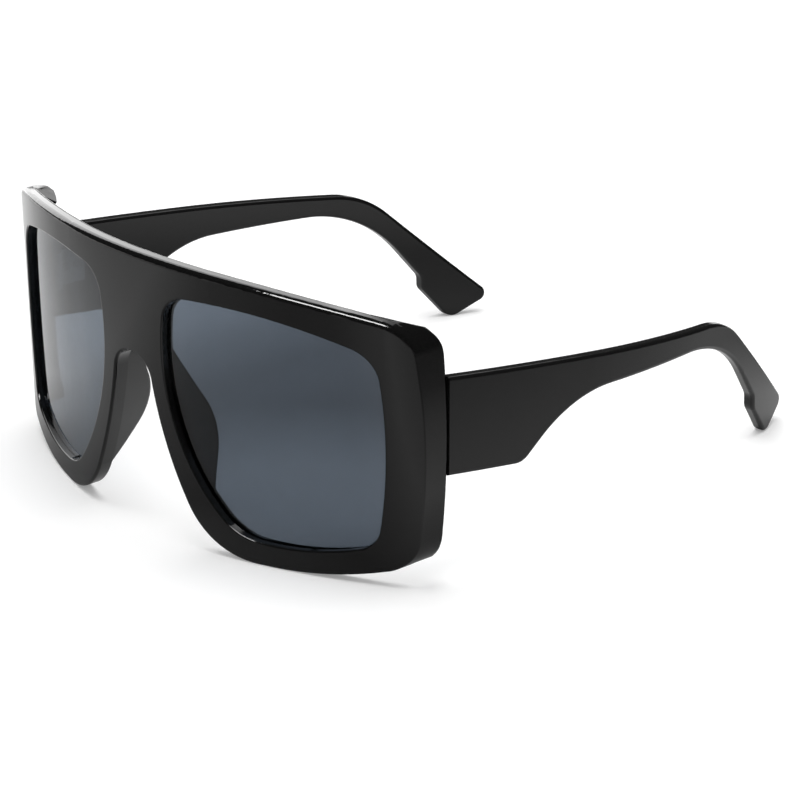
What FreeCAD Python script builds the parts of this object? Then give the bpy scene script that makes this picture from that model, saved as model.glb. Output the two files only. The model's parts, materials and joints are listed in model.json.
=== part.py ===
import FreeCAD, Part
import math
import os
import Sketcher

# Oversized wrap sunglasses, in millimetres.
# X is to the wearer's left, Y runs back along the temples, Z is up from the table.
# While the pieces are drawn, Y is 0 at the foot of the front; each finished piece is then placed
# so that the origin lies on the table in the middle of the whole length.

doc = FreeCAD.newDocument("oversized_sunglasses")

SIZES = {
    # Front: one curved plate that leans forward at the top
    "front_radius": 90.0,
    "front_blend_x": 24.6,
    "front_end_radius": 179.0,
    "front_tip_width": 6.8,
    "front_tip_radius": 32.0,
    "front_lean": 2.0,
    "front_depth": 3.8,
    "top_height": 68.6,
    "top_arch_radius": 370.0,
    "top_end_width": 16.4,
    "top_end_radius": 180.0,
    "bottom_flat_end": 38.0,
    "bottom_end_radius": 85.0,
    "bottom_nasal_radius": 20.0,
    "bridge_z": 44.0,
    "nasal_rim": 5.6,
    "nose_z": 55.0,
    "nose_radius": 94.2,
    "front_edge_radius": 0.6,
    "top_edge_radius": 1.3,
    "top_rear_radius": 0.9,
    # Lens opening: four bowed sides, each given by its outermost point and its radius
    "nasal_x": 10.4,
    "nasal_z": 46.5,
    "nasal_radius": 53.0,
    "upper_x": 25.0,
    "upper_rim": 7.7,
    "upper_radius": 105.0,
    "temporal_rim": 7.5,
    "temporal_z": 34.0,
    "temporal_radius": 135.0,
    "lower_x": 38.5,
    "lower_z": 5.5,
    "lower_radius": 62.0,
    "corner_upper_nasal": 7.0,
    "corner_upper_temporal": 8.5,
    "corner_lower_temporal": 6.5,
    "corner_lower_nasal": 14.0,
    "opening_edge_radius": 0.4,
    # Lens and its groove, measured along Y from the front face
    "lens_setback": 1.75,
    "lens_thickness": 1.2,
    "groove_reach": 1.0,
    "lens_clearance": 0.05,
    # End piece: a bowed side, rounded corners, and a round behind its upper corner
    "end_inset": 1.47,
    "end_depth": 5.55,
    "end_z": 34.0,
    "end_radius": 200.0,
    "end_upper_corner": 8.5,
    "end_lower_corner": 9.0,
    "end_wall": 2.0,
    "boss_width": 4.6,
    "boss_margin": 4.0,
    "end_drop": 0.2049,
    "end_round": 7.9,
    "end_edge_radius": 0.5,
    # Nose pads, moulded behind the rims
    "pad_rear_y": 14.4,
    "pad_rear_z": 26.5,
    "pad_top_z": 48.0,
    "pad_bottom_z": 3.8,
    "pad_root_y": 3.3,
    "pad_round": 14.0,
    "pad_thickness": 3.0,
    "pad_step": 0.6,
    "pad_flare": 5.0,
    "pad_lens_gap": 0.3,
    "pad_edge_radius": 0.9,
    # Temple side view
    "butt_gap": 0.2,
    "butt_top": 49.2,
    "butt_bottom": 25.9,
    "bend_y": 126.5,
    "bend_z": 36.9,
    "bend_radius": 26.0,
    "tip_rear_y": 160.5,
    "tip_rear_z": 4.8,
    "tip_rear_radius": 2.2,
    "tip_y": 150.6,
    "tip_radius": 3.0,
    "hoof_y": 142.0,
    "hoof_z": 8.7,
    "hoof_radius": 2.5,
    "notch_y": 141.9,
    "notch_z": 12.0,
    "notch_radius": 3.0,
    "ear_y": 125.6,
    "ear_z": 32.9,
    "ear_radius": 35.0,
    "arm_y": 68.2,
    "arm_z": 35.4,
    "arm_radius": 34.0,
    "step_y": 52.6,
    "step_z": 23.2,
    "step_radius": 5.0,
    # Temple plan view
    "temple_reach": 71.9,
    "temple_reach_y": 65.0,
    "temple_bow_radius": 510.0,
    "temple_curl_y": 75.0,
    "temple_curl_radius": 222.0,
    "temple_thickness": 3.1,
    "temple_edge_radius": 0.8,
    # Hinge
    "hinge_z": 38.3,
    "knuckle_radius": 1.4,
    "knuckle_height": 1.8,
    "knuckle_gap": 0.04,
    "knuckle_relief": 0.2,
    "leaf_thickness": 1.0,
    "tongue_depth": 4.6,
    "plate_length": 8.4,
    "seat_clearance": 0.03,
    "pin_radius": 0.6,
    "pin_clearance": 0.04,
    "pin_head_radius": 1.15,
    "pin_head_height": 0.7,
    "leaf_screw_radius": 0.5,
    "leaf_screw_head_radius": 0.95,
    "leaf_screw_head_height": 0.4,
    "leaf_screw_length": 2.4,
    "leaf_screw_first": 3.4,
    "leaf_screw_pitch": 2.9,
}

sheet = doc.addObject("Spreadsheet::Sheet", "sizes")
for row, (alias, number) in enumerate(SIZES.items(), start=1):
    sheet.set(f"A{row}", alias)
    sheet.set(f"B{row}", str(number))
    sheet.setAlias(f"B{row}", alias)
doc.recompute()

KNUCKLES = 5
MARGIN = 12.0
NEAR = 0.01
UP = FreeCAD.Vector(0, 0, 1)
FRONT_VIEW = FreeCAD.Rotation(FreeCAD.Vector(1, 0, 0), 90)
SIDE_VIEW = FreeCAD.Rotation(FreeCAD.Vector(0, 1, 0), FreeCAD.Vector(0, 0, 1), FreeCAD.Vector(1, 0, 0))
PLAN_VIEW = FreeCAD.Rotation()
LEANING = FreeCAD.Rotation(FreeCAD.Vector(1, 0, 0), SIZES["front_lean"])


def size(alias):
    """Read a driving dimension from the sheet."""
    return float(sheet.get(alias))


def value(expression):
    """Work out an expression of driving dimensions."""
    return float(sheet.evalExpression(expression.replace("sizes.", "")))


# Values that several pieces share

END_X = "(sizes.temple_reach - sizes.end_inset)"
TIP_X = f"({END_X} - sizes.front_tip_width)"
FLATTER_X = "(sizes.front_blend_x * (1 - sizes.front_end_radius / sizes.front_radius))"
FLATTER_Y = ("(sizes.front_radius + sqrt(1 - pow(sizes.front_blend_x / sizes.front_radius; 2))"
             " * (sizes.front_end_radius - sizes.front_radius))")
TIP_SINE = f"(({TIP_X} - {FLATTER_X}) / sizes.front_end_radius)"
TIP_COSINE = f"sqrt(1 - pow({TIP_SINE}; 2))"
ROLLED_X = f"({TIP_X} - {TIP_SINE} * sizes.front_tip_radius)"
ROLLED_Y = f"({FLATTER_Y} - {TIP_COSINE} * (sizes.front_end_radius - sizes.front_tip_radius))"
FACE_END = f"({ROLLED_Y} - sqrt(pow(sizes.front_tip_radius; 2) - pow({END_X} - {ROLLED_X}; 2)))"
BUTT_Y = f"({FACE_END} + sizes.end_depth)"
BUTT_OUTER = ("(sizes.temple_reach"
              f" - pow(sizes.temple_reach_y - {BUTT_Y}; 2) / (2 * sizes.temple_bow_radius))")
BUTT_INNER = f"({BUTT_OUTER} - sizes.temple_thickness)"
BOSS_X = f"({END_X} - sizes.boss_width)"
TEMPORAL_X = f"({END_X} - sizes.temporal_rim)"
UPPER_Z = "(sizes.top_height - sizes.upper_rim)"
NOSE_X = "(sizes.nasal_x - sizes.nasal_rim)"
LENS_REAR = "(sizes.lens_setback + sizes.lens_thickness)"
AXIS_X = f"({BUTT_INNER} + sizes.leaf_thickness - sizes.knuckle_radius)"
AXIS_Y = BUTT_Y
STACK = f"({KNUCKLES} * sizes.knuckle_height)"
STACK_LOW = f"(sizes.hinge_z - {STACK} / 2)"
STACK_HIGH = f"(sizes.hinge_z + {STACK} / 2)"
PIN_TOP = f"({STACK_HIGH} + sizes.pin_head_height)"
RELIEF = "(sizes.knuckle_radius + sizes.knuckle_relief)"
ORIGIN_SHIFT = "-(sizes.tip_rear_y - sizes.top_height * tan(sizes.front_lean)) / 2"


def at(x, y):
    return FreeCAD.Vector(x, y, 0)


def bind(thing, **expressions):
    """Tie properties to the sheet; a double underscore stands for a dot in the property path."""
    for path, expression in expressions.items():
        thing.setExpression(path.replace("__", "."), expression)
    return thing


# Sketches made of lines and tangent arcs


class Outline:
    """A closed sketch drawn edge after edge, each joined to the one before it."""

    def __init__(self, name, rotation, origin=(0, 0, 0)):
        self.sketch = doc.addObject("Sketcher::SketchObject", name)
        self.sketch.Placement = FreeCAD.Placement(FreeCAD.Vector(*origin), rotation)
        self.ends = []

    def line(self, start, end, smooth=False):
        number = self.sketch.addGeometry(Part.LineSegment(start, end))
        self.join(number, 1, 2, smooth)
        return number

    def arc(self, centre, radius, start, end, clockwise=False, smooth=False, expression=None):
        first, last = (end, start) if clockwise else (start, end)
        begin = math.atan2(first.y - centre.y, first.x - centre.x)
        finish = math.atan2(last.y - centre.y, last.x - centre.x)
        circle = Part.Circle(centre, FreeCAD.Vector(0, 0, 1), radius)
        number = self.sketch.addGeometry(Part.ArcOfCircle(circle, begin, finish))
        self.join(number, 2 if clockwise else 1, 1 if clockwise else 2, smooth)
        if expression:
            constraint = self.sketch.addConstraint(Sketcher.Constraint("Radius", number, radius))
            self.sketch.setExpression(f"Constraints[{constraint}]", expression)
        return number

    def join(self, number, start, end, smooth):
        if self.ends:
            kind = "Tangent" if smooth else "Coincident"
            before = self.ends[-1]
            self.sketch.addConstraint(Sketcher.Constraint(kind, before[0], before[2], number, start))
        self.ends.append((number, start, end))

    def close(self, smooth=False):
        kind = "Tangent" if smooth else "Coincident"
        last, first = self.ends[-1], self.ends[0]
        self.sketch.addConstraint(Sketcher.Constraint(kind, last[0], last[2], first[0], first[1]))
        return self.sketch


def rounded_polygon(name, rotation, corners):
    """Straight sides with rounded corners; each corner is (x, y, radius alias or None)."""
    outline = Outline(name, rotation)
    points = [at(corner[0], corner[1]) for corner in corners]
    stops = []
    for index, corner in enumerate(corners):
        here = points[index]
        back = (points[index - 1] - here).normalize()
        ahead = (points[(index + 1) % len(points)] - here).normalize()
        if not corner[2]:
            stops.append((here, here, None))
            continue
        radius = size(corner[2])
        half = back.getAngle(ahead) / 2
        reach = radius / math.tan(half)
        bisector = (back + ahead).normalize()
        stops.append((here + back * reach, here + ahead * reach, here + bisector * (radius / math.sin(half))))
    for index, (enter, leave, centre) in enumerate(stops):
        alias = corners[index][2]
        if centre is not None:
            turn = (points[index] - points[index - 1]).cross(points[(index + 1) % len(points)] - points[index])
            outline.arc(centre, size(alias), enter, leave, turn.z < 0, bool(outline.ends), f"sizes.{alias}")
        onward = stops[(index + 1) % len(stops)][0]
        outline.line(leave, onward, centre is not None)
    return outline.close(stops[0][2] is not None)


def inner_touch(first, second, radius, near):
    """Centre of a circle inside two circles and tangent to both, on the side nearest to a point."""
    (centre_a, radius_a), (centre_b, radius_b) = first, second
    reach_a = radius_a - radius
    reach_b = radius_b - radius
    apart = centre_b - centre_a
    span = apart.Length
    along = (reach_a ** 2 - reach_b ** 2 + span ** 2) / (2 * span)
    aside = math.sqrt(reach_a ** 2 - along ** 2)
    unit = apart * (1 / span)
    normal = at(-unit.y, unit.x)
    options = [centre_a + unit * along + normal * (aside * sign) for sign in (1, -1)]
    return min(options, key=lambda centre: (centre - near).Length)


def lens_outline(name, grow=""):
    """The lens opening, or the same outline grown by an expression for its groove and its lens."""
    extra = value(grow) if grow else 0.0
    plus = f" + {grow}" if grow else ""
    sides = {
        "nasal": at(size("nasal_x") + size("nasal_radius"), size("nasal_z")),
        "lower": at(size("lower_x"), size("lower_z") + size("lower_radius")),
        "temporal": at(value(TEMPORAL_X) - size("temporal_radius"), size("temporal_z")),
        "upper": at(size("upper_x"), value(UPPER_Z) - size("upper_radius")),
    }
    order = ["nasal", "lower", "temporal", "upper"]
    corners = ["lower_nasal", "lower_temporal", "upper_temporal", "upper_nasal"]
    places = [
        at(size("nasal_x"), size("lower_z")),
        at(value(TEMPORAL_X), size("lower_z")),
        at(value(TEMPORAL_X), value(UPPER_Z)),
        at(size("nasal_x"), value(UPPER_Z)),
    ]
    fillets = []
    for index, corner in enumerate(corners):
        one, two = order[index], order[(index + 1) % 4]
        radius = size(f"corner_{corner}")
        pair = [(sides[side], size(f"{side}_radius")) for side in (one, two)]
        centre = inner_touch(pair[0], pair[1], radius, places[index])
        touches = [
            circle[0] + (centre - circle[0]).normalize() * (circle[1] + extra) for circle in pair
        ]
        fillets.append((centre, radius + extra, touches))
    outline = Outline(name, FRONT_VIEW)
    for index, side in enumerate(order):
        start = fillets[index - 1][2][1]
        end = fillets[index][2][0]
        radius = size(f"{side}_radius") + extra
        outline.arc(sides[side], radius, start, end, False, index > 0, f"sizes.{side}_radius{plus}")
        centre, radius, touches = fillets[index]
        text = f"sizes.corner_{corners[index]}{plus}"
        outline.arc(centre, radius, touches[0], touches[1], False, True, text)
    return outline.close(True)


# Solids and their combinations


def extrude(name, sketch, start, length, direction):
    """Pull a sketch along a direction, from a start distance over a length."""
    feature = doc.addObject("Part::Extrusion", name)
    feature.Base = sketch
    feature.DirMode = "Custom"
    feature.Dir = direction
    feature.Solid = True
    feature.LengthRev = -start
    feature.LengthFwd = start + length
    return feature


def combine(kind, name, base, tool):
    feature = doc.addObject(f"Part::{kind}", name)
    feature.Base = base
    feature.Tool = tool
    if hasattr(feature, "Refine"):
        feature.Refine = True
    return feature


def cut(name, base, tool):
    return combine("Cut", name, base, tool)


def common(name, base, tool):
    return combine("Common", name, base, tool)


def fuse(name, base, tool):
    return combine("Fuse", name, base, tool)


def block(name, x, y, z):
    """A box between pairs of expressions."""
    feature = doc.addObject("Part::Box", name)
    for letter, side, (low, high) in zip("xyz", ("Length", "Width", "Height"), (x, y, z)):
        feature.setExpression(f"Placement.Base.{letter}", low)
        feature.setExpression(side, f"({high}) - ({low})")
    return feature


def post(name, x, y, low, high, radius):
    """An upright cylinder between two heights."""
    feature = doc.addObject("Part::Cylinder", name)
    return bind(
        feature, Radius=radius, Height=f"({high}) - ({low})",
        Placement__Base__x=x, Placement__Base__y=y, Placement__Base__z=low,
    )


def wrap_arcs():
    """Centres and meeting points of the three arcs of the front's curve in plan."""
    middle = at(0, size("front_radius"))
    flatter = at(value(FLATTER_X), value(FLATTER_Y))
    rolled = at(value(ROLLED_X), value(ROLLED_Y))
    blend = middle + (middle - flatter).normalize() * size("front_radius")
    tip = rolled + (rolled - flatter).normalize() * size("front_tip_radius")
    return middle, blend, flatter, tip, rolled


def wrap_outline():
    """The front's curve in plan: a round middle, flatter sides and rolled ends, closed far behind."""
    middle, blend, flatter, tip, rolled = wrap_arcs()
    start = at(-blend.x, blend.y)
    end = rolled + at(size("front_tip_radius"), 0)
    back = value(BUTT_Y) + 4 * MARGIN
    outline = Outline("wrap_outline", LEANING)
    outline.arc(middle, size("front_radius"), start, blend, False, False, "sizes.front_radius")
    outline.arc(flatter, size("front_end_radius"), blend, tip, False, True, "sizes.front_end_radius")
    outline.arc(rolled, size("front_tip_radius"), tip, end, False, True, "sizes.front_tip_radius")
    outline.line(end, at(end.x, back))
    outline.line(at(end.x, back), at(start.x, back))
    outline.line(at(start.x, back), start)
    return outline.close()


WRAP = wrap_outline()


def wrap(name, depth):
    """Everything behind the front's leaning curve, moved back by a depth."""
    feature = extrude(name, WRAP, -MARGIN, size("top_height") + 2 * MARGIN, LEANING.multVec(UP))
    return bind(feature, Placement__Base__y=depth)


def round_edges(name, base, chosen, radius_at):
    """Round the edges of a solid that a test chooses, with a radius for each of their ends."""
    doc.recompute()
    feature = doc.addObject("Part::Fillet", name)
    feature.Base = base
    feature.Edges = [
        (number, *(radius_at(edge.valueAt(end)) for end in edge.ParameterRange))
        for number, edge in enumerate(base.Shape.Edges, start=1) if chosen(edge)
    ]
    return feature


def everywhere(alias):
    """The same radius at every point."""
    return lambda point: size(alias)


def mirror(name, base):
    feature = doc.addObject("Part::Mirroring", name)
    feature.Source = base
    feature.Normal = FreeCAD.Vector(1, 0, 0)
    return feature


# The front's outline, left half


def end_arcs():
    """Where the top's arch ends, and the circles round the end piece from the top to the foot."""
    end = value(END_X)
    tilt = math.asin((end - size("top_end_width")) / size("top_arch_radius"))
    along = at(math.sin(tilt), math.cos(tilt))
    meet = at(0, size("top_height") - size("top_arch_radius")) + along * size("top_arch_radius")
    shoulder = (meet - along * size("top_end_radius"), size("top_end_radius"))
    side = (at(end - size("end_radius"), size("end_z")), size("end_radius"))
    rise = (at(size("bottom_flat_end"), size("bottom_end_radius")), size("bottom_end_radius"))
    upper, lower = size("end_upper_corner"), size("end_lower_corner")
    high = (inner_touch(shoulder, side, upper, at(end, size("top_height"))), upper)
    low = (inner_touch(side, rise, lower, at(end, 0)), lower)
    return meet, shoulder, high, side, low, rise


def on_circles(point, circles):
    """Whether a point, seen from ahead, lies on one of some circles."""
    spot = at(point.x, point.z)
    return min(abs((spot - centre).Length - radius) for centre, radius in circles) < NEAR


def touch(circle, centre, inset=0.0):
    """The point of a circle, or of one inside it, on the line through its centre and another centre."""
    return circle[0] + (centre - circle[0]).normalize() * (circle[1] - inset)


def front_outline():
    """Half of the front seen from ahead: arched top, bowed end, flat foot, nose side and bridge arch."""
    arch = at(0, size("top_height") - size("top_arch_radius"))
    meet, shoulder, high, side, low, rise = end_arcs()
    reach = size("nose_radius")
    nose = at(value(NOSE_X) + reach, size("nose_z"))
    corner = size("bottom_nasal_radius")
    foot = at(nose.x - math.sqrt((reach - corner) ** 2 - (nose.y - corner) ** 2), corner)
    turn = nose + (foot - nose).normalize() * reach
    crown = at(0, size("bridge_z"))
    under = nose.y - crown.y
    bridge = (nose.x ** 2 + under ** 2 - reach ** 2) / (2 * (reach - under))
    hollow = at(0, crown.y - bridge)
    tangent = nose + (hollow - nose).normalize() * reach

    outline = Outline("front_outline", FRONT_VIEW)
    outline.line(crown, at(0, size("top_height")))
    outline.arc(arch, size("top_arch_radius"), at(0, size("top_height")), meet, True, False,
                "sizes.top_arch_radius")
    outline.arc(*shoulder, meet, touch(shoulder, high[0]), True, True, "sizes.top_end_radius")
    outline.arc(*high, touch(shoulder, high[0]), touch(side, high[0]), True, True, "sizes.end_upper_corner")
    outline.arc(*side, touch(side, high[0]), touch(side, low[0]), True, True, "sizes.end_radius")
    outline.arc(*low, touch(side, low[0]), touch(rise, low[0]), True, True, "sizes.end_lower_corner")
    outline.arc(*rise, touch(rise, low[0]), at(rise[0].x, 0), True, True, "sizes.bottom_end_radius")
    outline.line(at(rise[0].x, 0), at(foot.x, 0), True)
    outline.arc(foot, corner, at(foot.x, 0), turn, True, True, "sizes.bottom_nasal_radius")
    outline.arc(nose, reach, turn, tangent, True, True, "sizes.nose_radius")
    outline.arc(hollow, bridge, tangent, crown, False, True)
    return outline.close()


def end_pocket():
    """The hollow of the end piece seen from ahead: its outline moved in by the wall."""
    shoulder, high, side, low, rise = end_arcs()[1:]
    wall = size("end_wall")
    inset = " - sizes.end_wall"
    stops = [touch(circle, corner[0], wall) for circle, corner in (
        (shoulder, high), (side, high), (side, low), (rise, low))]
    outline = Outline("end_pocket", FRONT_VIEW)
    outline.arc(high[0], high[1] - wall, stops[0], stops[1], True, False, "sizes.end_upper_corner" + inset)
    outline.arc(side[0], side[1] - wall, stops[1], stops[2], True, True, "sizes.end_radius" + inset)
    outline.arc(low[0], low[1] - wall, stops[2], stops[3], True, True, "sizes.end_lower_corner" + inset)
    outline.line(stops[3], stops[0])
    return outline.close()


def end_level():
    """Top of the end piece behind its corner; the corner drops below it where the end piece starts."""
    centre, radius = end_arcs()[2]
    return centre.y + math.sqrt(radius ** 2 - (value(BOSS_X) - centre.x) ** 2) + size("end_drop")


def end_round():
    """What is taken off behind the upper corner of the end piece, in side view."""
    ahead = value(BUTT_Y) - 2 * size("end_round")
    behind = value(BUTT_Y) + MARGIN
    above = size("top_height") + MARGIN
    level = end_level()
    below = level - 2 * size("end_round")
    return rounded_polygon("end_round", SIDE_VIEW, [
        (ahead, level, None),
        (value(BUTT_Y), level, "end_round"),
        (value(BUTT_Y), below, None),
        (behind, below, None),
        (behind, above, None),
        (ahead, above, None),
    ])


NODES = []


def finish(feature, label):
    """Name a finished piece and place it in the part's frame."""
    feature.Label = label
    bind(feature, Placement__Base__y=ORIGIN_SHIFT)
    NODES.append(feature)


def finish_pair(feature, label):
    """Finish a left piece and its mirror image on the right."""
    other = mirror(f"{label}_mirrored", feature)
    bind(other, Placement__Base__y="0")
    NODES.append(other)
    other.Label = f"{label}_right"
    finish(feature, f"{label}_left")


def hinge_room(name):
    """The round hollow that the knuckles and the pin's head turn in."""
    low = f"{STACK_LOW} - sizes.knuckle_relief"
    high = f"{PIN_TOP} + sizes.knuckle_relief"
    return post(name, AXIS_X, AXIS_Y, low, high, RELIEF)


def tongue_room(name, clearance):
    """The tongue of the front leaf, or its slot in the end piece."""
    return block(
        name,
        (f"{AXIS_X} - sizes.leaf_thickness / 2 - {clearance}",
         f"{AXIS_X} + sizes.leaf_thickness / 2 + {clearance}"),
        (f"{AXIS_Y} - sizes.tongue_depth - {clearance}", AXIS_Y),
        (f"{STACK_LOW} - {clearance}", f"{STACK_HIGH} + {clearance}"),
    )


def plate_room(name, clearance):
    """The plate of the temple leaf, or its seat in the temple."""
    return block(
        name,
        (f"{BUTT_INNER} - {clearance}", f"{BUTT_INNER} + sizes.leaf_thickness + {clearance}"),
        (AXIS_Y, f"{AXIS_Y} + sizes.plate_length + {clearance}"),
        (f"{STACK_LOW} - {clearance}", f"{STACK_HIGH} + {clearance}"),
    )


# Front frame


def on_front(point):
    """Whether a point lies on the front face."""
    flat = LEANING.inverted().multVec(point)
    spot = LEANING.multVec(at(flat.x, flat.y))
    return WRAP.Shape.distToShape(Part.Vertex(spot))[0] < NEAR


def on_edge(edge, test):
    """Whether both ends and the middle of an edge pass a test."""
    low, high = edge.ParameterRange
    return all(test(edge.valueAt(low + (high - low) * share)) for share in (0.02, 0.5, 0.98))


def nose_pad():
    """A flared strip along the nose side, shaped in side view and kept clear of the lens."""
    outer = "sizes.nose_radius - sizes.pad_step"
    strip = doc.addObject("Sketcher::SketchObject", "pad_strip")
    strip.Placement = FreeCAD.Placement(FreeCAD.Vector(0, size("pad_root_y"), 0), FRONT_VIEW)
    nose = at(value(NOSE_X) + size("nose_radius"), size("nose_z"))
    for radius in (outer, f"{outer} - sizes.pad_thickness"):
        circle = strip.addGeometry(Part.Circle(nose, UP, value(radius)))
        constraint = strip.addConstraint(Sketcher.Constraint("Radius", circle, value(radius)))
        strip.setExpression(f"Constraints[{constraint}]", radius)
    flare = FreeCAD.Vector(math.tan(math.radians(size("pad_flare"))), 1, 0)
    band = extrude("pad_band", strip, -MARGIN, 3 * MARGIN, flare.normalize())
    profile = rounded_polygon("pad_profile", SIDE_VIEW, [
        (-MARGIN, size("pad_top_z"), None),
        (-MARGIN, size("pad_bottom_z"), None),
        (size("pad_root_y"), size("pad_bottom_z"), None),
        (size("pad_rear_y"), size("pad_rear_z"), "pad_round"),
        (size("pad_root_y"), size("pad_top_z"), None),
    ])
    side = extrude("pad_side", profile, 0, value(TEMPORAL_X), FreeCAD.Vector(1, 0, 0))
    shaped = common("pad_shaped", band, side)
    room = wrap("pad_room", f"{LENS_REAR} + sizes.pad_lens_gap")
    pad = common("pad_raw", shaped, room)
    rear = 2 * size("pad_root_y")

    def behind(edge):
        return on_edge(edge, lambda point: point.y > rear)

    return round_edges("pad", pad, behind, everywhere("pad_edge_radius"))


def front_half():
    """The left half of the front, with everything but its mirror image."""
    face = wrap("front_face", "0")
    prism = extrude("front_prism", front_outline(), -MARGIN, value(BUTT_Y) + MARGIN,
                    FreeCAD.Vector(0, 1, 0))
    depth = (f"-{MARGIN}", f"{BUTT_Y} + {MARGIN}")
    across = (BOSS_X, f"{END_X} + {MARGIN}")
    side = block("end_side", across, depth, (f"-{MARGIN}", f"sizes.top_height + {MARGIN}"))
    pocket = extrude("end_pocket_prism", end_pocket(), -MARGIN, value(BUTT_Y) + 2 * MARGIN,
                     FreeCAD.Vector(0, 1, 0))
    boss = block("hinge_boss", across, depth,
                 (f"{STACK_LOW} - sizes.boss_margin", f"{PIN_TOP} + sizes.boss_margin"))
    wall = fuse("end_wall", cut("end_shell", side, pocket), boss)
    body = common("front_body", prism, face)
    shoulder = size("top_height") - size("end_upper_corner")
    joins = (0, size("front_blend_x"), value(TIP_X))

    def seam(point):
        return min(abs(point.x - join) for join in joins) < NEAR

    def rim_edge(edge):
        return on_edge(edge, on_front) and not on_edge(edge, seam)

    def rim_radius(point):
        return size("top_edge_radius") if point.z > shoulder else size("front_edge_radius")

    rounded = round_edges("front_rounded", body, rim_edge, rim_radius)
    plate = cut("front_plate", cut("front_between", rounded, wall), wrap("front_back", "sizes.front_depth"))
    setback = FreeCAD.Vector(0, size("front_depth"), 0)
    arch = (at(0, size("top_height") - size("top_arch_radius")), size("top_arch_radius"))
    top_circles = (arch, *end_arcs()[1:3])
    end_circles = end_arcs()[2:4]

    def top_rear_edge(edge):
        return on_edge(edge, on_top_rear) and not on_edge(edge, seam)

    def on_top_rear(point):
        return on_circles(point, top_circles) and on_front(point - setback)

    eased = round_edges("front_eased", plate, top_rear_edge, everywhere("top_rear_radius"))
    blank = fuse("front_blank", eased, common("end_piece", rounded, wall))
    taken = extrude("end_round_prism", end_round(), value(BOSS_X), size("boss_width") + MARGIN,
                    FreeCAD.Vector(1, 0, 0))
    trimmed = cut("front_trimmed", blank, taken)
    hub = at(value(BUTT_Y) - size("end_round"), end_level() - size("end_round"))

    def on_round(point):
        away = at(point.y, point.z) - hub
        return min(away.x, away.y) > -NEAR and abs(away.Length - size("end_round")) < NEAR

    def end_edge(edge):
        return on_edge(edge, lambda point: on_round(point) and on_circles(point, end_circles))

    ended = round_edges("front_ended", trimmed, end_edge, everywhere("end_edge_radius"))
    window = extrude("window", lens_outline("window_outline"), -MARGIN, value(BUTT_Y) + 2 * MARGIN,
                     FreeCAD.Vector(0, 1, 0))
    pierced = cut("front_pierced", ended, window)
    temporal, upper = value(TEMPORAL_X), value(UPPER_Z)

    def window_edge(edge):
        return on_edge(edge, on_front) and on_edge(edge, in_window) and not on_edge(edge, seam)

    def in_window(point):
        return size("nasal_x") - NEAR < point.x < temporal + NEAR and (
            size("lower_z") - NEAR < point.z < upper + NEAR)

    softened = round_edges("front_softened", pierced, window_edge, everywhere("opening_edge_radius"))
    grown = extrude("groove_prism", lens_outline("groove_outline", "sizes.groove_reach"), -MARGIN,
                    value(BUTT_Y) + 2 * MARGIN, FreeCAD.Vector(0, 1, 0))
    groove = cut(
        "groove",
        common("groove_curve", grown, wrap("groove_front", "sizes.lens_setback - sizes.lens_clearance")),
        wrap("groove_back", f"{LENS_REAR} + sizes.lens_clearance"),
    )
    grooved = cut("front_grooved", softened, groove)
    padded = fuse("front_padded", grooved, nose_pad())
    roomy = cut("front_roomy", padded, hinge_room("front_hinge_room"))
    return cut("front_left_half", roomy, tongue_room("tongue_slot", "sizes.seat_clearance"))


half = front_half()
finish(fuse("front", half, mirror("front_right_half", half)), "front_frame")


# Lenses


def lens():
    grown = extrude("lens_prism",
                    lens_outline("lens_edge", "(sizes.groove_reach - sizes.lens_clearance)"),
                    -MARGIN, value(BUTT_Y) + 2 * MARGIN, FreeCAD.Vector(0, 1, 0))
    curved = common("lens_curve", grown, wrap("lens_front", "sizes.lens_setback"))
    return cut("lens", curved, wrap("lens_back", LENS_REAR))


finish_pair(lens(), "lens")


# Temples


def temple_side():
    """Side view: wide butt, stepped underside, bend over the ear and flared tip."""
    tip = at(size("tip_y"), size("tip_radius"))
    rear = at(size("tip_rear_y"), size("tip_rear_z"))
    hoof = at(size("hoof_y"), size("hoof_z"))

    def tangent_direction(point, side):
        """Direction of the line from a point that just touches the tip's round."""
        way = tip - point
        swing = math.asin(size("tip_radius") / way.Length) * side
        angle = math.atan2(way.y, way.x) + swing
        return at(math.cos(angle), math.sin(angle))

    heel = tangent_direction(rear, 1)
    toe = tangent_direction(hoof, -1)
    gap = hoof - rear
    travel = (gap.x * toe.y - gap.y * toe.x) / (heel.x * toe.y - heel.y * toe.x)
    sole = rear + heel * travel
    start = value(BUTT_Y) + size("butt_gap")
    return rounded_polygon("temple_outline", SIDE_VIEW, [
        (start, size("butt_top"), None),
        (start, size("butt_bottom"), None),
        (size("step_y"), size("step_z"), "step_radius"),
        (size("arm_y"), size("arm_z"), "arm_radius"),
        (size("ear_y"), size("ear_z"), "ear_radius"),
        (size("notch_y"), size("notch_z"), "notch_radius"),
        (hoof.x, hoof.y, "hoof_radius"),
        (sole.x, sole.y, "tip_radius"),
        (rear.x, rear.y, "tip_rear_radius"),
        (size("bend_y"), size("bend_z"), "bend_radius"),
    ])


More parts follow.
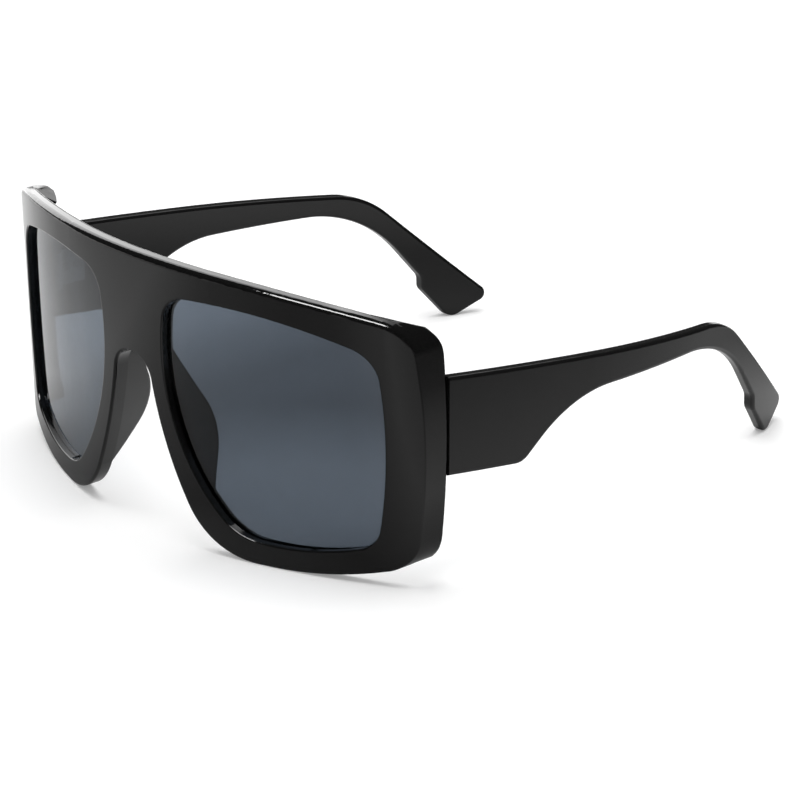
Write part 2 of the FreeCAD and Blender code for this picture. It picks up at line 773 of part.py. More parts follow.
def temple_plan():
    """Plan view: a band that bows out a little and curls in behind the ear."""
    bow = at(size("temple_reach") - size("temple_bow_radius"), size("temple_reach_y"))
    turn = math.asin((size("temple_curl_y") - bow.y) / size("temple_bow_radius"))
    along = at(math.cos(turn), math.sin(turn))
    curl = bow + along * (size("temple_bow_radius") - size("temple_curl_radius"))

    def on_bow(y, radius):
        return at(bow.x + math.sqrt(radius ** 2 - (y - bow.y) ** 2), y)

    def on_curl(y, radius):
        return at(curl.x + math.sqrt(radius ** 2 - (y - curl.y) ** 2), y)

    start = value(BUTT_Y) - MARGIN
    end = size("tip_rear_y") + MARGIN
    thick = size("temple_thickness")
    outer = (size("temple_bow_radius"), size("temple_curl_radius"))
    inner = (outer[0] - thick, outer[1] - thick)
    outline = Outline("temple_band_outline", PLAN_VIEW)
    outline.arc(bow, outer[0], on_bow(start, outer[0]), bow + along * outer[0], False, False,
                "sizes.temple_bow_radius")
    outline.arc(curl, outer[1], bow + along * outer[0], on_curl(end, outer[1]), False, True,
                "sizes.temple_curl_radius")
    outline.line(on_curl(end, outer[1]), on_curl(end, inner[1]))
    outline.arc(curl, inner[1], on_curl(end, inner[1]), bow + along * inner[0], True, False,
                "sizes.temple_curl_radius - sizes.temple_thickness")
    outline.arc(bow, inner[0], bow + along * inner[0], on_bow(start, inner[0]), True, True,
                "sizes.temple_bow_radius - sizes.temple_thickness")
    outline.line(on_bow(start, inner[0]), on_bow(start, outer[0]))
    return outline.close()


def temple():
    prism = extrude("temple_prism", temple_side(), 0, size("temple_reach") + MARGIN,
                    FreeCAD.Vector(1, 0, 0))
    band = extrude("temple_band", temple_plan(), -MARGIN, size("top_height") + MARGIN, UP)
    blank = common("temple_blank", prism, band)
    butt = value(BUTT_Y) + size("butt_gap")

    def long_edge(edge):
        across = edge.valueAt(edge.LastParameter) - edge.valueAt(edge.FirstParameter)
        ahead = on_edge(edge, lambda point: point.y < butt + NEAR)
        crosswise = abs(across.x) > math.hypot(across.y, across.z)
        return not crosswise and not ahead

    rounded = round_edges("temple_rounded", blank, long_edge, everywhere("temple_edge_radius"))
    roomy = cut("temple_roomy", rounded, hinge_room("temple_hinge_room"))
    seated = cut("temple_seated", roomy, plate_room("plate_seat", "sizes.seat_clearance"))
    return cut("temple", seated, leaf_screw_holes("temple_screw_holes"))


def screw_shank(name, radius, index):
    """One screw shank that points out through the leaf into the temple."""
    feature = doc.addObject("Part::Cylinder", name)
    feature.Placement.Rotation = FreeCAD.Rotation(FreeCAD.Vector(0, 1, 0), 90)
    return bind(
        feature, Radius=radius, Height="sizes.leaf_screw_length",
        Placement__Base__x=BUTT_INNER,
        Placement__Base__y=f"{AXIS_Y} + sizes.leaf_screw_first + {index} * sizes.leaf_screw_pitch",
        Placement__Base__z="sizes.hinge_z",
    )


def screw_head(name, index):
    feature = screw_shank(name, "sizes.leaf_screw_head_radius", index)
    return bind(
        feature, Height="sizes.leaf_screw_head_height",
        Placement__Base__x=f"{BUTT_INNER} - sizes.leaf_screw_head_height",
    )


def leaf_screw_holes(name):
    shanks = [
        screw_shank(f"{name}_{index}", "sizes.leaf_screw_radius + sizes.pin_clearance / 2", index)
        for index in range(2)
    ]
    return fuse(name, shanks[0], shanks[1])


finish_pair(temple(), "temple")


# Hinges


def hinge_leaf(name, web, first):
    """A leaf: a web and every second knuckle, with room for the other leaf's knuckles."""
    barrel = post(f"{name}_barrel", AXIS_X, AXIS_Y, STACK_LOW, STACK_HIGH, "sizes.knuckle_radius")
    leaf = fuse(f"{name}_joined", barrel, web)
    for index in range(1 - first, KNUCKLES, 2):
        low = f"{STACK_LOW} + {index} * sizes.knuckle_height - sizes.knuckle_gap"
        high = f"{STACK_LOW} + {index + 1} * sizes.knuckle_height + sizes.knuckle_gap"
        room = post(f"{name}_room_{index}", AXIS_X, AXIS_Y, low, high, RELIEF)
        leaf = cut(f"{name}_spaced_{index}", leaf, room)
    bore = post(f"{name}_bore", AXIS_X, AXIS_Y, f"{STACK_LOW} - {MARGIN}", f"{STACK_HIGH} + {MARGIN}",
                "sizes.pin_radius + sizes.pin_clearance")
    return cut(name, leaf, bore)


def hinge_screw():
    shank = post("pin_shank", AXIS_X, AXIS_Y, STACK_LOW, STACK_HIGH, "sizes.pin_radius")
    head = post("pin_head", AXIS_X, AXIS_Y, STACK_HIGH, PIN_TOP, "sizes.pin_head_radius")
    return fuse("hinge_pin", shank, head)


def leaf_screws():
    """The two screws of one temple leaf, side by side."""
    screws = [
        fuse(f"leaf_screw_{index}",
             screw_shank(f"leaf_shank_{index}", "sizes.leaf_screw_radius", index),
             screw_head(f"leaf_head_{index}", index))
        for index in range(2)
    ]
    pair = doc.addObject("Part::Compound", "leaf_screw_pair")
    pair.Links = screws
    return pair


finish_pair(hinge_leaf("front_leaf", tongue_room("tongue", "0"), 1), "front_hinge_leaf")
temple_leaf = hinge_leaf("temple_leaf_blank", plate_room("plate", "0"), 0)
finish_pair(cut("temple_leaf", temple_leaf, leaf_screw_holes("leaf_holes")), "temple_hinge_leaf")
finish_pair(hinge_screw(), "hinge_screw")
finish_pair(leaf_screws(), "temple_leaf_screws")


# Check every object, then write the pieces

doc.recompute()
for thing in doc.Objects:
    if "Invalid" in thing.State or "Error" in thing.State:
        raise RuntimeError(f"{thing.Name} did not build: {thing.State}")
for node in NODES:
    if node.Shape.isNull() or not node.Shape.isValid():
        raise RuntimeError(f"{node.Label} is not a valid solid")

os.makedirs("parts", exist_ok=True)
for node in NODES:
    node.Shape.exportStep(f"parts/{node.Label}.step")
    box = node.Shape.BoundBox
    print(f"{node.Label}: {len(node.Shape.Solids)} solids, {node.Shape.Volume:.1f} mm3, "
          f"x {box.XMin:.2f} to {box.XMax:.2f}, y {box.YMin:.2f} to {box.YMax:.2f}, "
          f"z {box.ZMin:.2f} to {box.ZMax:.2f}")
print("hinge axis", value(AXIS_X), value(f"{AXIS_Y} + {ORIGIN_SHIFT}"), "shift", value(ORIGIN_SHIFT))
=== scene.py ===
# %% [markdown]
# Oversized sunglasses, dressed for a studio picture.
# The construction model already holds every piece at its true size: one moulded front, two lenses,
# two temples and two screwed hinges. This lesson adds what a shape alone can't show: polished black
# plastic, smoke-tinted lenses, hinge metal, turned screws, and the light of a small product studio.

# %% Load the construction model
import json
import math

import bpy
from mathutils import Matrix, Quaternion, Vector

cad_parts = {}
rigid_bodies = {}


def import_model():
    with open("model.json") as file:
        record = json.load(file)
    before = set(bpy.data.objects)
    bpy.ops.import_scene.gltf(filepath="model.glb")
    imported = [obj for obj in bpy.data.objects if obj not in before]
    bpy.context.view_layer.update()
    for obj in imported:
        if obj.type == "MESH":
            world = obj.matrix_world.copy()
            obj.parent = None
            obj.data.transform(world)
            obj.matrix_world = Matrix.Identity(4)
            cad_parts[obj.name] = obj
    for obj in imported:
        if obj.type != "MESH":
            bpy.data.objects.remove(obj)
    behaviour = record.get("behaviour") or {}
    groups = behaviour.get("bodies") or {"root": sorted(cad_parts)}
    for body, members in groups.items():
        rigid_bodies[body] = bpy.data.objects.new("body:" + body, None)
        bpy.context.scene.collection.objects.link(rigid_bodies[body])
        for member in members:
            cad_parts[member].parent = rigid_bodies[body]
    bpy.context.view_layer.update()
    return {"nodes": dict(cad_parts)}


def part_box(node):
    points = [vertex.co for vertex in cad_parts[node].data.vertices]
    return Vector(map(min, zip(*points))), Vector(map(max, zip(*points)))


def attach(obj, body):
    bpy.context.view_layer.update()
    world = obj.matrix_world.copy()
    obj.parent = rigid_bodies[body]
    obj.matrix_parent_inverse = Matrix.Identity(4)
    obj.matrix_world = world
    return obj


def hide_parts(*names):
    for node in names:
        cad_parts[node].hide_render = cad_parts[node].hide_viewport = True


MM = 0.001

for leftover in list(bpy.data.objects):
    bpy.data.objects.remove(leftover)
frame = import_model()

# %% [markdown]
# The camera. A product picture is taken from far away with a long lens, so that the near end piece
# doesn't swell. The camera stands off to the wearer's left, above the glasses, and looks down a
# little. It aims at a point inside the front's near half, so the temples run back to the right.

# %% Camera
VIEW_TURN = math.radians(47.2)
VIEW_RISE = math.radians(21.46)
VIEW_DISTANCE = 0.8652
VIEW_TARGET = Vector((0.05263, -0.04648, 0.03824))
LENS_LENGTH = 175.04
SENSOR_WIDTH = 36.0

back = Vector((
    math.sin(VIEW_TURN) * math.cos(VIEW_RISE),
    -math.cos(VIEW_TURN) * math.cos(VIEW_RISE),
    math.sin(VIEW_RISE),
))
camera_data = bpy.data.cameras.new("studio_camera")
camera_data.lens = LENS_LENGTH
camera_data.sensor_width = SENSOR_WIDTH
camera = bpy.data.objects.new("studio_camera", camera_data)
bpy.context.scene.collection.objects.link(camera)
camera.location = VIEW_TARGET + back * VIEW_DISTANCE
camera.rotation_mode = "QUATERNION"
camera.rotation_quaternion = (-back).to_track_quat("-Z", "Y")
bpy.context.scene.camera = camera
bpy.context.scene.view_settings.view_transform = "Standard"
print("camera at", [round(x, 4) for x in camera.location])

# %% [markdown]
# Shader arithmetic. Materials here are sums and products of masks. Writing them as Python
# expressions is shorter than linking Math nodes by hand, so a small class wraps a socket and adds
# one Math node for each operator. Every other node comes from one method, `node`.


# %% Shader arithmetic
class Socket:
    """An output of a node tree that Python operators work on."""

    def __init__(self, tree, output):
        self.tree = tree
        self.output = output

    def math(self, operation, first, second):
        """Add a Math node on two numbers or links."""
        return node(self.tree, "ShaderNodeMath", {"operation": operation}, [first, second])

    def __add__(self, other):
        return self.math("ADD", self, other)

    __radd__ = __add__

    def __sub__(self, other):
        return self.math("SUBTRACT", self, other)

    def __rsub__(self, other):
        return self.math("SUBTRACT", other, self)

    def __mul__(self, other):
        return self.math("MULTIPLY", self, other)

    __rmul__ = __mul__


def node(tree, kind, settings, inputs, output=0):
    """Add a node: its settings first, then its inputs by place or by name, as links or values."""
    made = tree.nodes.new(kind)
    for name, value in settings.items():
        if name == "stops":
            elements = made.color_ramp.elements
            while len(elements) < len(value):
                elements.new(1.0)
            for element, (place, colour) in zip(elements, value):
                element.position = place
                element.color = colour
        else:
            setattr(made, name, value)
    pairs = inputs.items() if isinstance(inputs, dict) else enumerate(inputs)
    for key, value in pairs:
        if isinstance(value, Socket):
            tree.links.new(value.output, made.inputs[key])
        else:
            made.inputs[key].default_value = value
    return Socket(tree, made.outputs[output]) if made.outputs else None


print("shader arithmetic: sums, differences and products of sockets")

# %% [markdown]
# The studio. Polished black plastic has almost no colour of its own: what shows is the room.
# A product photographer builds that room on purpose: white paper under the glasses, darkness behind
# the camera, and white cards where an edge should shine. The world below is white to the camera's
# eye, soft grey as a source of light, and dark in reflections, like a studio with its lamps shaded.

# %% World
ROOM_LIGHT = 0.45
ROOM_IN_GLOSS = 0.05


def grey(level):
    """An opaque colour without a hue."""
    return (level, level, level, 1)


def ray_kind(tree, kind):
    """1 for rays of one kind, else 0."""
    return node(tree, "ShaderNodeLightPath", {}, [], f"Is {kind} Ray")


def seen_directly(tree):
    """1 where a ray comes straight from the camera or through a lens, else 0."""
    straight = ray_kind(tree, "Camera")
    return straight.math("MAXIMUM", straight, ray_kind(tree, "Transmission"))


world = bpy.data.worlds.new("studio")
bpy.context.scene.world = world
world.use_nodes = True
room = world.node_tree
room.nodes.clear()
seen = seen_directly(room)
shaded_room = ROOM_LIGHT - ray_kind(room, "Glossy") * (ROOM_LIGHT - ROOM_IN_GLOSS)
room_level = seen + (1 - seen) * shaded_room
backdrop = node(room, "ShaderNodeBackground", {}, {"Color": grey(1), "Strength": room_level})
node(room, "ShaderNodeOutputWorld", {}, {"Surface": backdrop})
print("world: light", ROOM_LIGHT, "in reflections", ROOM_IN_GLOSS)

# %% [markdown]
# The paper. A sheet of white card lies under the glasses and takes their shadow. One plane is
# enough: it reaches far past the picture, so its edges never show.

# %% Paper
PAPER_WIDTH = 8.0

bpy.ops.object.select_all(action="DESELECT")
bpy.ops.mesh.primitive_plane_add(size=PAPER_WIDTH)
paper = bpy.context.object
paper.name = "paper"
print("paper", PAPER_WIDTH, "m wide")

# %% [markdown]
# The paper in reflections. In polished black faces the sheet shows as soft gradients, which a
# photographer shapes with shades and small reflectors. Here painted light and shade in the sheet's
# colour, seen by reflected rays only, stand in for them: painted levels of light and shade that sweep
# across the sheet, a painted bright rise beside the far end piece, and two round pools of painted
# light, one under the bridge and one under the near temple's tip.

# %% Paper in reflections, with painted light and shade
# Painted light and shade for reflections: levels across the sheet, a painted bright rise and two
# painted pools of light.
PAINTED_SWEEP = [
    (-0.5, 1.0), (-0.25, 0.48), (-0.19, 0.48), (-0.1, 0.66), (-0.03, 0.32), (0.03, 0.2),
    (0.06, 0.22), (0.1, 0.5), (0.15, 0.34), (0.2, 0.16), (0.3, 0.1),
]
PAINTED_RISE_ALONG = (-0.075, 0.0)
PAINTED_RISE_ACROSS = (-0.06, -0.12)
PAINTED_RISE_LEVEL = 0.48
PAINTED_POOL_RIM = 0.06
PAINTED_POOL_CORE = 0.02
BRIDGE_PAINTED_POOL = ((0.01, -0.04, 0), 0.5)
TIP_PAINTED_POOL = ((0.055, 0.078, 0), 0.4)


def slope_of(tree, value, start, end, top=1.0):
    """A straight rise from 0 to a top level between two values."""
    return node(tree, "ShaderNodeMapRange", {}, {
        "Value": value, "From Min": start, "From Max": end, "To Max": top,
    })


def painted_pool_of(tree, place, centre, top):
    """A round pool of painted light in the paper's colour, even in its core and fading to its rim."""
    away = node(tree, "ShaderNodeVectorMath", {"operation": "DISTANCE"}, [place, centre], "Value")
    return slope_of(tree, away, PAINTED_POOL_RIM, PAINTED_POOL_CORE, top)


def painted_paper_level(tree):
    """The painted light and shade in the paper's colour: how bright each place of the paper is in
    reflections.
    """
    place = node(tree, "ShaderNodeTexCoord", {}, [], "Object")
    across = node(tree, "ShaderNodeSeparateXYZ", {}, [place], "X")
    along = node(tree, "ShaderNodeSeparateXYZ", {}, [place], "Y")
    start, end = PAINTED_SWEEP[0][0], PAINTED_SWEEP[-1][0]
    stops = [((x - start) / (end - start), grey(level)) for x, level in PAINTED_SWEEP]
    sweep = node(tree, "ShaderNodeValToRGB", {"stops": stops}, [slope_of(tree, across, start, end)])
    rise = slope_of(tree, along, *PAINTED_RISE_ALONG, PAINTED_RISE_LEVEL) * slope_of(tree, across, *PAINTED_RISE_ACROSS)
    return sweep + rise + painted_pool_of(tree, place, *BRIDGE_PAINTED_POOL) + painted_pool_of(tree, place, *TIP_PAINTED_POOL)


print("paper sweep from", PAINTED_SWEEP[0][0], "to", PAINTED_SWEEP[-1][0], "m")

# %% [markdown]
# The paper's finish. It is plain matt card, whose colour in reflections is the painted light and shade
# above. A little light of its own, for straight looks only, lifts it to clean white in the picture
# without more light on the glasses.

# %% Paper finish
PAPER_TONE = 0.8
PAPER_LIFT = 0.24


def new_finish(name):
    """A new material and its empty node tree."""
    material = bpy.data.materials.new(name)
    material.use_nodes = True
    material.node_tree.nodes.clear()
    return material, material.node_tree


def show(tree, shader):
    """Join a finished shader to a material's output."""
    node(tree, "ShaderNodeOutputMaterial", {}, {"Surface": shader})


def mix_of(tree, share, first, second):
    """A mix of two colours."""
    colours = {"Factor": share, "A": first, "B": second}
    return node(tree, "ShaderNodeMix", {"data_type": "RGBA"}, colours, "Result")


white_paper, paper_tree = new_finish("white_paper")
reflected = ray_kind(paper_tree, "Glossy")
# Reflected rays see the painted light and shade, other rays the card's own pale tone.
card_tone_and_painted_light = mix_of(paper_tree, reflected, grey(PAPER_TONE), painted_paper_level(paper_tree))
matt_card = node(paper_tree, "ShaderNodeBsdfDiffuse", {}, {"Color": card_tone_and_painted_light})
lift_level = seen_directly(paper_tree) * PAPER_LIFT
lift = node(paper_tree, "ShaderNodeEmission", {}, {"Color": grey(1), "Strength": lift_level})
show(paper_tree, node(paper_tree, "ShaderNodeAddShader", {}, [matt_card, lift]))
paper.data.materials.append(white_paper)
print("paper tone", PAPER_TONE, "lift", PAPER_LIFT)

# %% [markdown]
# The lamps. One large soft lamp overhead lights the paper and the colours. The others only draw
# reflections: two tilted cards behind the glasses turn the flat top of the front into a pale band,
# and a bright box above and before the near half draws the fine white line along its rounded edge.


# %% Lamps
def softbox(name, place, aim, size, power, roll=0.0):
    """A rectangular lamp that faces a point, turned about its own axis."""
    lamp = bpy.data.lights.new(name, "AREA")
    lamp.shape = "RECTANGLE"
    lamp.size, lamp.size_y = size
    lamp.energy = power
    body = bpy.data.objects.new(name, lamp)
    bpy.context.scene.collection.objects.link(body)
    body.location = place
    body.rotation_mode = "QUATERNION"
    facing = (Vector(aim) - Vector(place)).to_track_quat("-Z", "Y")
    body.rotation_quaternion = facing @ Quaternion((0, 0, 1), roll)
    print(name, "power", power, "W")
    return body


overhead = softbox(
    "overhead_softbox", place=(-0.05, 0.0, 0.9), aim=(0, 0, 0), size=(0.9, 0.9), power=9,
)
overhead.visible_glossy = False
band_card = softbox(
    "band_card", place=(-0.388, 0.089, 0.297), aim=(-0.094, -0.183, 0.139),
    size=(0.62, 0.35), power=1.9, roll=math.radians(-56.8),
)
near_card = softbox(
    "near_card", place=(-0.137, 0.27, 0.378), aim=(0.063, -0.06, 0.063), size=(0.2, 0.25), power=0.15,
)
edge_box = softbox(
    "edge_box", place=(0.195, -0.61, 0.894), aim=(0.045, -0.07, 0.064), size=(0.62, 0.34), power=15,
)
for card in (band_card, near_card, edge_box):
    card.visible_diffuse = False
    card.visible_transmission = False

# %% [markdown]
# Polished black plastic. The front and the temples come out of a polished mould: almost black, with
# a clear gloss. Handling leaves faint smears that only show as a change of gloss, and moulded faces
# have a very slight waviness that bends reflections.

# %% Black plastic
PLASTIC_IOR = 1.49
SMEAR_SCALE = 70.0
SMEAR_GLOSS = 0.05
WAVE_SCALE = 60.0
WAVE_DEPTH = 0.2 * MM
WAVE_STRENGTH = 0.05
GRAIN_SCALE = 9000.0
GRAIN_SHARE = 0.004
TONE_SPREAD = 0.2


def noise_of(tree, scale, detail, roughness=0.5):
    """Cloudy noise that stays in place on a piece."""
    place = node(tree, "ShaderNodeTexCoord", {}, [], "Object")
    return node(tree, "ShaderNodeTexNoise", {}, {
        "Vector": place, "Scale": scale, "Detail": detail, "Roughness": roughness,
    })


def black_plastic(name, colour, gloss):
    """Moulded plastic with smears in its gloss and a slight wave in its face."""
    material, tree = new_finish(name)
    smear = noise_of(tree, SMEAR_SCALE, detail=5.0, roughness=0.6)
    wave = noise_of(tree, WAVE_SCALE, detail=1.0)
    grain = noise_of(tree, GRAIN_SCALE, detail=2.0)
    bump = node(tree, "ShaderNodeBump", {}, {
        "Strength": WAVE_STRENGTH, "Distance": WAVE_DEPTH, "Height": wave + grain * GRAIN_SHARE,
    })
    tone = mix_of(tree, smear, grey(colour * (1 - TONE_SPREAD)), grey(colour * (1 + TONE_SPREAD)))
    show(tree, node(tree, "ShaderNodeBsdfPrincipled", {}, {
        "Base Color": tone, "Roughness": gloss + smear * SMEAR_GLOSS,
        "IOR": PLASTIC_IOR, "Normal": bump,
    }))
    print(name, "gloss", gloss)
    return material


front_plastic = black_plastic("front_plastic", colour=0.004, gloss=0.05)
temple_plastic = black_plastic("temple_plastic", colour=0.005, gloss=0.10)

# %% [markdown]
# Smoke-tinted lenses. A sunglass lens is cast from tinted plastic, so light crosses it and loses the
# same share at every point. The surface is polished glass-smooth; only a trace of handling is left on
# it, which is a very small change of gloss. A tinted glass shader does this without any layers.

# %% Lens tint
SMOKE_DEEP = (0.072, 0.088, 0.110, 1)
SMOKE_PALE = (0.078, 0.096, 0.120, 1)
TOUCH_SCALE = 55.0
TOUCH_RANGE = (0.62, 0.8)
TOUCH_GLOSS = 0.02


def smoke_tint(name):
    """Clear tinted plastic with a few faint touches in its gloss."""
    material, tree = new_finish(name)
    touch = noise_of(tree, TOUCH_SCALE, detail=6.0, roughness=0.7)
    show(tree, node(tree, "ShaderNodeBsdfPrincipled", {}, {
        "Base Color": mix_of(tree, touch, SMOKE_DEEP, SMOKE_PALE),
        "Roughness": slope_of(tree, touch, *TOUCH_RANGE, TOUCH_GLOSS),
        "IOR": PLASTIC_IOR, "Transmission Weight": 1.0,
    }))
    print(name, "tint", SMOKE_DEEP[:3])
    return material


lens_tint = smoke_tint("smoke_lens")

# %% [markdown]
# Hinge metal and screws. Hinge leaves are stamped from nickel silver and tumbled to a satin finish;
# screws are turned from bright steel. Both are bare metal with fine scratches that change the gloss.

# %% Hinge metal
NICKEL_SILVER = (0.55, 0.55, 0.56, 1)
BRIGHT_STEEL = (0.62, 0.62, 0.63, 1)
BRUSH_SCALE = 3000.0
BRUSH_GLOSS = 0.15


def bright_metal(name, colour, gloss):
    """Bare metal with fine scratches in its gloss."""
    material, tree = new_finish(name)
    brush = noise_of(tree, BRUSH_SCALE, detail=3.0)
    show(tree, node(tree, "ShaderNodeBsdfPrincipled", {}, {
        "Base Color": colour, "Metallic": 1.0, "Roughness": gloss + brush * BRUSH_GLOSS,
    }))
    print(name, "gloss", gloss)
    return material


hinge_metal = bright_metal("hinge_metal", NICKEL_SILVER, gloss=0.22)
screw_steel = bright_metal("screw_steel", BRIGHT_STEEL, gloss=0.15)

# %% [markdown]
# Dressing the construction pieces. The moulded front, the lenses, the temples and the hinge leaves
# already have their true shape, so they only take a finish. The plain screws take one too, although
# more detailed ones stand in for them below.

# %% Dress the construction pieces
SIDES = ("left", "right")


def dress(name, material):
    """Give a construction piece its finish."""
    piece = frame["nodes"][name]
    piece.data.materials.clear()
    piece.data.materials.append(material)


dress("front_frame", front_plastic)
for side in SIDES:
    dress(f"temple_{side}", temple_plastic)
    dress(f"lens_{side}", lens_tint)
    dress(f"front_hinge_leaf_{side}", hinge_metal)
    dress(f"temple_hinge_leaf_{side}", hinge_metal)
    dress(f"hinge_screw_{side}", screw_steel)
    dress(f"temple_leaf_screws_{side}", screw_steel)
print("dressed", len(frame["nodes"]), "construction pieces")

# %% [markdown]
# Picking faces. Each small piece starts as a primitive of its true size. Its faces are picked by the
# way they face, as one would pick them by eye, before an operator works on them.

# %% Picking faces
FACING = 0.9


def only(piece):
    """Make one piece the only selected one."""
    bpy.ops.object.select_all(action="DESELECT")
    piece.select_set(True)
    bpy.context.view_layer.objects.active = piece


def leave_edit():
    """Go back to object mode."""
    bpy.ops.object.mode_set(mode="OBJECT")


def pick_facing(piece, way):
    """Enter edit mode with the faces selected that face one way."""
    only(piece)
    bpy.ops.object.mode_set(mode="EDIT")
    bpy.ops.mesh.select_mode(type="FACE")
    bpy.ops.mesh.select_all(action="DESELECT")
    leave_edit()
    for face in piece.data.polygons:
        face.select = face.normal.dot(way) > FACING
    bpy.ops.object.mode_set(mode="EDIT")


print("faces are picked within", round(math.degrees(math.acos(FACING))), "degrees of a way")

# %% [markdown]
# Turning and sawing. Screws are turned from round stock on a small lathe. The same steps make them
# here: a thinner shank is drawn out of one end of the blank, the rim of the head is rounded, and slots
# are sawn with a block that is taken away.


# %% Turning and sawing
def round_blank(place, radius, height, sides, turn=(0, 0, 0)):
    """A short round blank for a screw, at its place."""
    bpy.ops.object.select_all(action="DESELECT")
    bpy.ops.mesh.primitive_cylinder_add(
        vertices=sides, radius=radius, depth=height, location=place, rotation=turn,
    )
    bpy.ops.object.transform_apply(location=True, rotation=True, scale=True)
    return bpy.context.object


def draw_shank(screw, way, step, length):
    """Step one end of a blank in and draw a shank out of it."""
    pick_facing(screw, way)
    bpy.ops.mesh.inset(thickness=step)
    bpy.ops.mesh.extrude_region_move(TRANSFORM_OT_translate={"value": way * length})
    leave_edit()


def round_rim(screw, way, radius, segments):
    """Round the rim of the end that faces one way."""
    pick_facing(screw, way)
    bpy.ops.mesh.bevel(offset=radius, segments=segments, affect="EDGES")
    leave_edit()


def cut_slot(piece, size, place):
    """Saw a straight slot: take a block away from a piece."""
    bpy.ops.object.select_all(action="DESELECT")
    bpy.ops.mesh.primitive_cube_add(size=1, location=place)
    block = bpy.context.object
    block.scale = size
    saw = piece.modifiers.new("saw", "BOOLEAN")
    saw.operation = "DIFFERENCE"
    saw.object = block
    only(piece)
    bpy.ops.object.modifier_apply(modifier=saw.name)
    bpy.data.objects.remove(block)


print("lathe and saw ready")

# %% [markdown]
# Copying and handing over. What repeats is modelled once and copied, each copy with its own mesh and
# with its place in that mesh. A finished piece has its faces turned outwards and its round faces shaded
# smooth. It rides on a body of the part and moves with it.

# %% Copying and handing over
SMOOTH_ANGLE = math.radians(32)


def copy_of(piece, place, turn=0.0):
    """A copy with its own mesh, turned about the upright axis and moved to its place."""
    only(piece)
    bpy.ops.object.duplicate(linked=False)
    copy = bpy.context.object
    copy.location = place
    copy.rotation_euler = (0, 0, turn)
    bpy.ops.object.transform_apply(location=True, rotation=True, scale=True)
    return copy


def hand_over(piece, name, body, material):
    """Smooth a finished piece and let it ride on a body of the part."""
    only(piece)
    bpy.ops.object.mode_set(mode="EDIT")
    bpy.ops.mesh.select_all(action="SELECT")
    bpy.ops.mesh.normals_make_consistent(inside=False)
    leave_edit()
    bpy.ops.object.shade_smooth_by_angle(angle=SMOOTH_ANGLE)
    piece.name = name
    piece.data.materials.append(material)
    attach(piece, body)
    print(name, "has", len(piece.data.polygons), "faces")


print("edges sharper than", round(math.degrees(SMOOTH_ANGLE)), "degrees stay crisp")

# %% [markdown]
# Hinge screws. The pin of a spectacle hinge is a long screw with a flat slotted head that sits on the
# top knuckle. It is turned: here a round blank is stepped down to the shank, its head's rim is broken
# and the slot is sawn across. One screw is made with the top of its head at the origin, then copied.

# %% Hinge screws
HEAD_HEIGHT = 0.7 * MM
HEAD_SIDES = 48
SHANK_RADIUS = 0.6 * MM
RIM_BREAK = 0.18 * MM
RIM_SEGMENTS = 3
SLOT_WIDTH = 0.35 * MM
SLOT_DEPTH = 0.35 * MM
ORIGIN = (0, 0, 0)
UP = Vector((0, 0, 1))

low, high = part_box("hinge_screw_left")
head_radius = (high.x - low.x) / 2
slot_length = 3 * head_radius
pin = round_blank((0, 0, -HEAD_HEIGHT / 2), head_radius, HEAD_HEIGHT, HEAD_SIDES)
draw_shank(pin, -UP, head_radius - SHANK_RADIUS, high.z - low.z - HEAD_HEIGHT)
round_rim(pin, UP, RIM_BREAK, RIM_SEGMENTS)
cut_slot(pin, (slot_length, SLOT_WIDTH, 2 * SLOT_DEPTH), ORIGIN)
for side in SIDES:
    low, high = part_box(f"hinge_screw_{side}")
    middle = (low + high) / 2
    screw = copy_of(pin, (middle.x, middle.y, high.z))
    hand_over(screw, f"slotted_hinge_screw_{side}", "front", screw_steel)
    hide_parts(f"hinge_screw_{side}")
bpy.data.objects.remove(pin)

# %% [markdown]
# Leaf screws. Two short screws hold each temple leaf from the inner side. Their heads are low pans
# with a crossed recess, so the blank is stepped down to its shank, rounded and sawn twice. One screw
# is made lying at the origin, and four copies go to their places, turned round on the right side.

# %% Leaf screws
PAN_HEIGHT = 0.4 * MM
PAN_RADIUS = 0.95 * MM
PAN_SIDES = 40
PAN_ROUND = 0.22 * MM
PAN_SEGMENTS = 4
LEAF_SHANK_RADIUS = 0.5 * MM
CROSS_LENGTH = 1.1 * MM
CROSS_WIDTH = 0.24 * MM
CROSS_DEPTH = 0.26 * MM
LYING = (0, math.pi / 2, 0)
LEFTWARD = Vector((1, 0, 0))

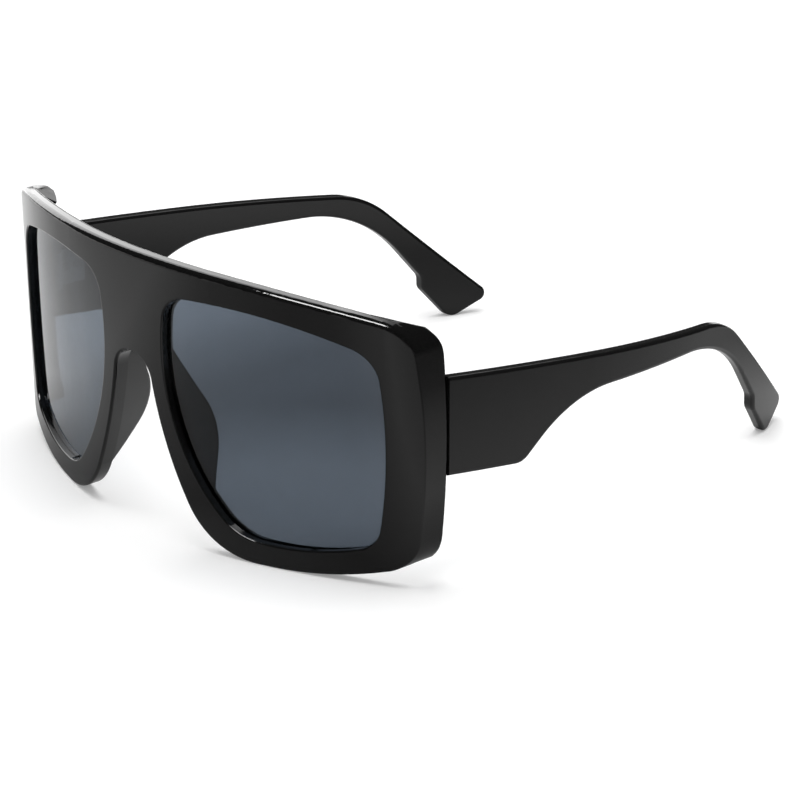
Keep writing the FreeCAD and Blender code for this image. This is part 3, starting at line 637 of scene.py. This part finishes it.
low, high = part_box("temple_leaf_screws_left")
pan = round_blank((PAN_HEIGHT / 2, 0, 0), PAN_RADIUS, PAN_HEIGHT, PAN_SIDES, LYING)
draw_shank(pan, LEFTWARD, PAN_RADIUS - LEAF_SHANK_RADIUS, high.x - low.x - PAN_HEIGHT)
round_rim(pan, -LEFTWARD, PAN_ROUND, PAN_SEGMENTS)
cut_slot(pan, (2 * CROSS_DEPTH, CROSS_LENGTH, CROSS_WIDTH), ORIGIN)
cut_slot(pan, (2 * CROSS_DEPTH, CROSS_WIDTH, CROSS_LENGTH), ORIGIN)
for side in SIDES:
    low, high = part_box(f"temple_leaf_screws_{side}")
    inner, turn = (low.x, 0.0) if side == "left" else (high.x, math.pi)
    height = (low.z + high.z) / 2
    first = copy_of(pan, (inner, low.y + PAN_RADIUS, height), turn)
    second = copy_of(pan, (inner, high.y - PAN_RADIUS, height), turn)
    only(first)
    second.select_set(True)
    bpy.ops.object.join()
    hand_over(first, f"crossed_leaf_screws_{side}", f"{side}_temple", screw_steel)
    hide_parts(f"temple_leaf_screws_{side}")
bpy.data.objects.remove(pan)

# %% [markdown]
# Corner webs. Where the flat rim runs into the deep end piece, the moulding is thickened by a small
# web, so that the top of the front runs on without a nick. It is a wedge of the same plastic, whittled
# from a block: sliced along the rim, four times along the end piece's slope, above the lens, and three
# times along the falling top. Each slice is a point on the cut, in millimetres, and the way that the
# cut faces. The right web has the same slices with their sideways part turned over.

# %% Corner webs
WEB_LOW = Vector((58.5, -63.5, 50.0)) * MM
WEB_HIGH = Vector((66.4, -50.0, 64.5)) * MM
WEB_TIP = (59.5, -60.05, 63.5)
WEB_SLICES = [
    ((60.0, -61.85, 60.0), (0.504, -0.864, 0.0)),
    (WEB_TIP, (-0.063, 0.374, 0.925)),
    (WEB_TIP, (-0.414, 0.586, 0.698)),
    (WEB_TIP, (-0.678, 0.623, 0.390)),
    (WEB_TIP, (-0.818, 0.558, 0.139)),
    ((60.8, -60.0, 60.8), (-0.707, 0.0, -0.707)),
    ((62.43, -60.0, 63.1), (0.193, 0.0, 0.981)),
    ((64.6, -58.0, 62.35), (0.448, 0.0, 0.894)),
    ((66.0, -56.0, 61.47), (0.613, 0.0, 0.790)),
]

middle = (WEB_LOW + WEB_HIGH) / 2
for side, out in (("left", 1), ("right", -1)):
    bpy.ops.object.select_all(action="DESELECT")
    bpy.ops.mesh.primitive_cube_add(size=1, location=(out * middle.x, middle.y, middle.z))
    web = bpy.context.object
    web.scale = WEB_HIGH - WEB_LOW
    bpy.ops.object.transform_apply(location=True, rotation=True, scale=True)
    bpy.ops.object.mode_set(mode="EDIT")
    for point, facing in WEB_SLICES:
        bpy.ops.mesh.select_all(action="SELECT")
        bpy.ops.mesh.bisect(
            plane_co=(out * point[0] * MM, point[1] * MM, point[2] * MM),
            plane_no=(out * facing[0], facing[1], facing[2]), use_fill=True, clear_outer=True,
        )
    leave_edit()
    hand_over(web, f"corner_web_{side}", "front", front_plastic)
